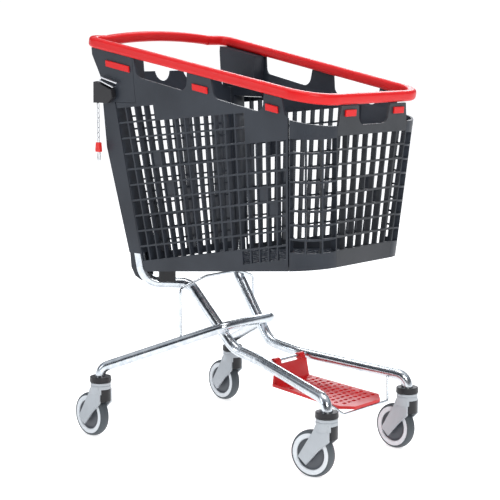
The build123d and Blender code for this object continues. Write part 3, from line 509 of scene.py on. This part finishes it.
def refined(node, width, finish, slot, segments=2, angle=32.0):
    """Copy of a CAD node with its triangles joined, flat faces merged and edges rounded to width."""
    mesh = frame["nodes"][node].data.copy()
    mesh.name = node + "_moulded"
    work = bmesh.new()
    work.from_mesh(mesh)
    bmesh.ops.remove_doubles(work, verts=work.verts, dist=2e-6)
    bmesh.ops.dissolve_limit(
        work, angle_limit=math.radians(0.6), verts=work.verts, edges=work.edges, delimit={"NORMAL"}
    )
    work.to_mesh(mesh)
    work.free()
    mesh.materials.clear()
    mesh.materials.append(finish.material)
    piece = bpy.data.objects.new(node + "_moulded", mesh)
    bpy.context.scene.collection.objects.link(piece)
    smooth_by_angle(mesh, angle)
    edge = piece.modifiers.new("edge", "BEVEL")
    edge.width = width
    edge.segments = segments
    edge.limit_method = "ANGLE"
    edge.angle_limit = math.radians(angle)
    edge.harden_normals = False
    edge.use_clamp_overlap = True
    settle(piece, slot, node)
    return piece


for side in ("right", "left"):
    refined("side_panel_" + side, 0.9 * mm, slate, "basket_plastic")
    refined("corner_post_" + side, 2.0 * mm, slate, "basket_plastic")
    refined("front_corner_" + side, 0.9 * mm, slate, "front_plastic")
# four lattice cells of each side are closed by a thin pad, set back from the ribs' faces
pad_cells = [(3, 6), (4, 4), (14, 3), (15, 2)]
pad_depth = 3.0
pad_thick = 2.5
side_columns = 17
side_rows = 10
lattice_foot = (-217.0, 289.3)
lattice_head = (-268.0, 320.05)
foot_height = 549.0
foot_rise = 0.18
head_height = 961.6
head_rise = 0.094


def lattice_place(column, row):
    """Place in the side lattice, in millimetres: straight lines between its sloping foot and head."""
    share = column / side_columns
    rise = row / side_rows
    foot = lattice_foot[0] + share * (lattice_foot[1] - lattice_foot[0])
    head = lattice_head[0] + share * (lattice_head[1] - lattice_head[0])
    x = foot + (head - foot) * rise
    z = (foot_height + foot_rise * foot) * (1 - rise) + (head_height + head_rise * head) * rise
    return np.array([x, -half_width(x, z), z])


def settle_extra(piece):
    """Fix a piece that stands for no CAD node to the cart itself."""
    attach(piece, frame["nodes"]["side_panel_right"]["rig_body"])


def pad(name, column, row, across):
    """Slab over one lattice cell, between two sheets parallel to the side face."""
    ring = [lattice_place(column + i, row + j) for i, j in ((0, 0), (1, 0), (1, 1), (0, 1))]
    depths = (pad_depth, pad_depth + pad_thick)
    sheets = [[place - side_normal * depth for place in ring] for depth in depths]
    grid = np.array(sheets) * mm
    grid[..., 1] *= across
    piece = grid_piece(name, grid, slate)
    settle_extra(piece)


for index, (column, row) in enumerate(pad_cells):
    pad(f"cell_pad_right_{index}", column, row, 1)
    pad(f"cell_pad_left_{index}", column, row, -1)
# the front panel takes the lighter copy of the slate, a painted highlight
refined("front_panel", 0.9 * mm, slate_with_painted_highlight, "front_plastic")
refined("floor_panel", 0.9 * mm, slate, "basket_plastic")
refined("gate_panel", 0.9 * mm, slate, "basket_plastic")
refined("rim_clips", 1.2 * mm, rail_red, "rim_plastic")

# ------------------------------------------------------------------ lower tray
# A red slotted shelf for crates, hung by two hooks on the rod between the legs and resting on a
# bent wire at its front, so that it lifts when another cart is pushed in behind.
tray_red = moulding("tray_red", (0.50, 0.006, 0.008), (0.66, 0.013, 0.014), 0.05, 0.34)
refined("tray_basket", 0.8 * mm, tray_red, "tray_plastic")

# ------------------------------------------------------------------ castors
# Four swivel castors: a pale nylon fork over a grey hub, a near-white nylon tread ring and a thin
# rubber tyre. A black collar and thrust washer close each leg, and a black bumper fills the fork.
fork_grey = moulding("fork_grey", (0.36, 0.39, 0.42), (0.46, 0.49, 0.52), 0.05, 0.34, 900.0)
hub_grey = moulding("hub_grey", (0.062, 0.070, 0.084), (0.090, 0.098, 0.112), 0.08, 0.42)
ring_white = moulding("ring_white", (0.62, 0.66, 0.70), (0.76, 0.79, 0.82), 0.04, 0.36)
nylon_black = moulding("nylon_black", (0.012, 0.012, 0.014), (0.022, 0.022, 0.025), 0.06, 0.38)
tread = moulding("tyre_rubber", (0.060, 0.072, 0.082), (0.090, 0.104, 0.116), 0.16, 0.62, 700.0)
bright = Finish("turned_steel", Metallic=1.0, Base_Color=(0.70, 0.71, 0.73, 1))
bright.put(bright.shader, "Roughness", 0.18 + 0.22 * bright.noise(300.0, 3.0))
bright.bump(bright.noise(900.0, 2.0), 0.00002, 0.3)
for corner in ("front_right", "front_left", "rear_right", "rear_left"):
    refined("fork_housing_" + corner, 1.3 * mm, fork_grey, "castor_plastic", 3)
    refined("fork_bumper_" + corner, 1.2 * mm, nylon_black, "black_plastic", 3)
    refined("wheel_hub_" + corner, 0.8 * mm, hub_grey, "hub_plastic")
    refined("wheel_ring_" + corner, 0.8 * mm, ring_white, "ring_plastic")
    refined("wheel_tyre_" + corner, 1.2 * mm, tread, "tyre_rubber", 3)
    refined("wheel_axle_" + corner, 0.6 * mm, bright, "bright_steel")
refined("stem_collars", 1.4 * mm, nylon_black, "black_plastic", 3)
refined("swivel_bearings", 0.3 * mm, nylon_black, "black_plastic")
refined("tube_saddles", 1.5 * mm, nylon_black, "black_plastic")
for steel_node in ("stem_pins", "gate_hinge_pins"):
    frame["nodes"][steel_node].data.materials.clear()
    frame["nodes"][steel_node].data.materials.append(bright.material)

# ------------------------------------------------------------------ coin lock, chain and key
# The nylon lock case sits on the right-hand post with a steel slide behind its slot. Its chain
# carries the red key that frees the next cart.
key_red = moulding("key_red", (0.66, 0.020, 0.018), (0.82, 0.050, 0.040), 0.05, 0.30)
refined("lock_case", 1.2 * mm, nylon_black, "black_plastic", 3)
refined("lock_cover", 1.0 * mm, nylon_black, "black_plastic", 3)
refined("coin_slider", 0.6 * mm, bright, "bright_steel")
refined("slot_lips", 0.8 * mm, bright, "bright_steel")
refined("key_grip", 1.5 * mm, key_red, "key_plastic", 3)
refined("key_tongue", 0.4 * mm, bright, "bright_steel")
refined("chain_links", 0.1 * mm, bright, "bright_steel", 1, 60.0)
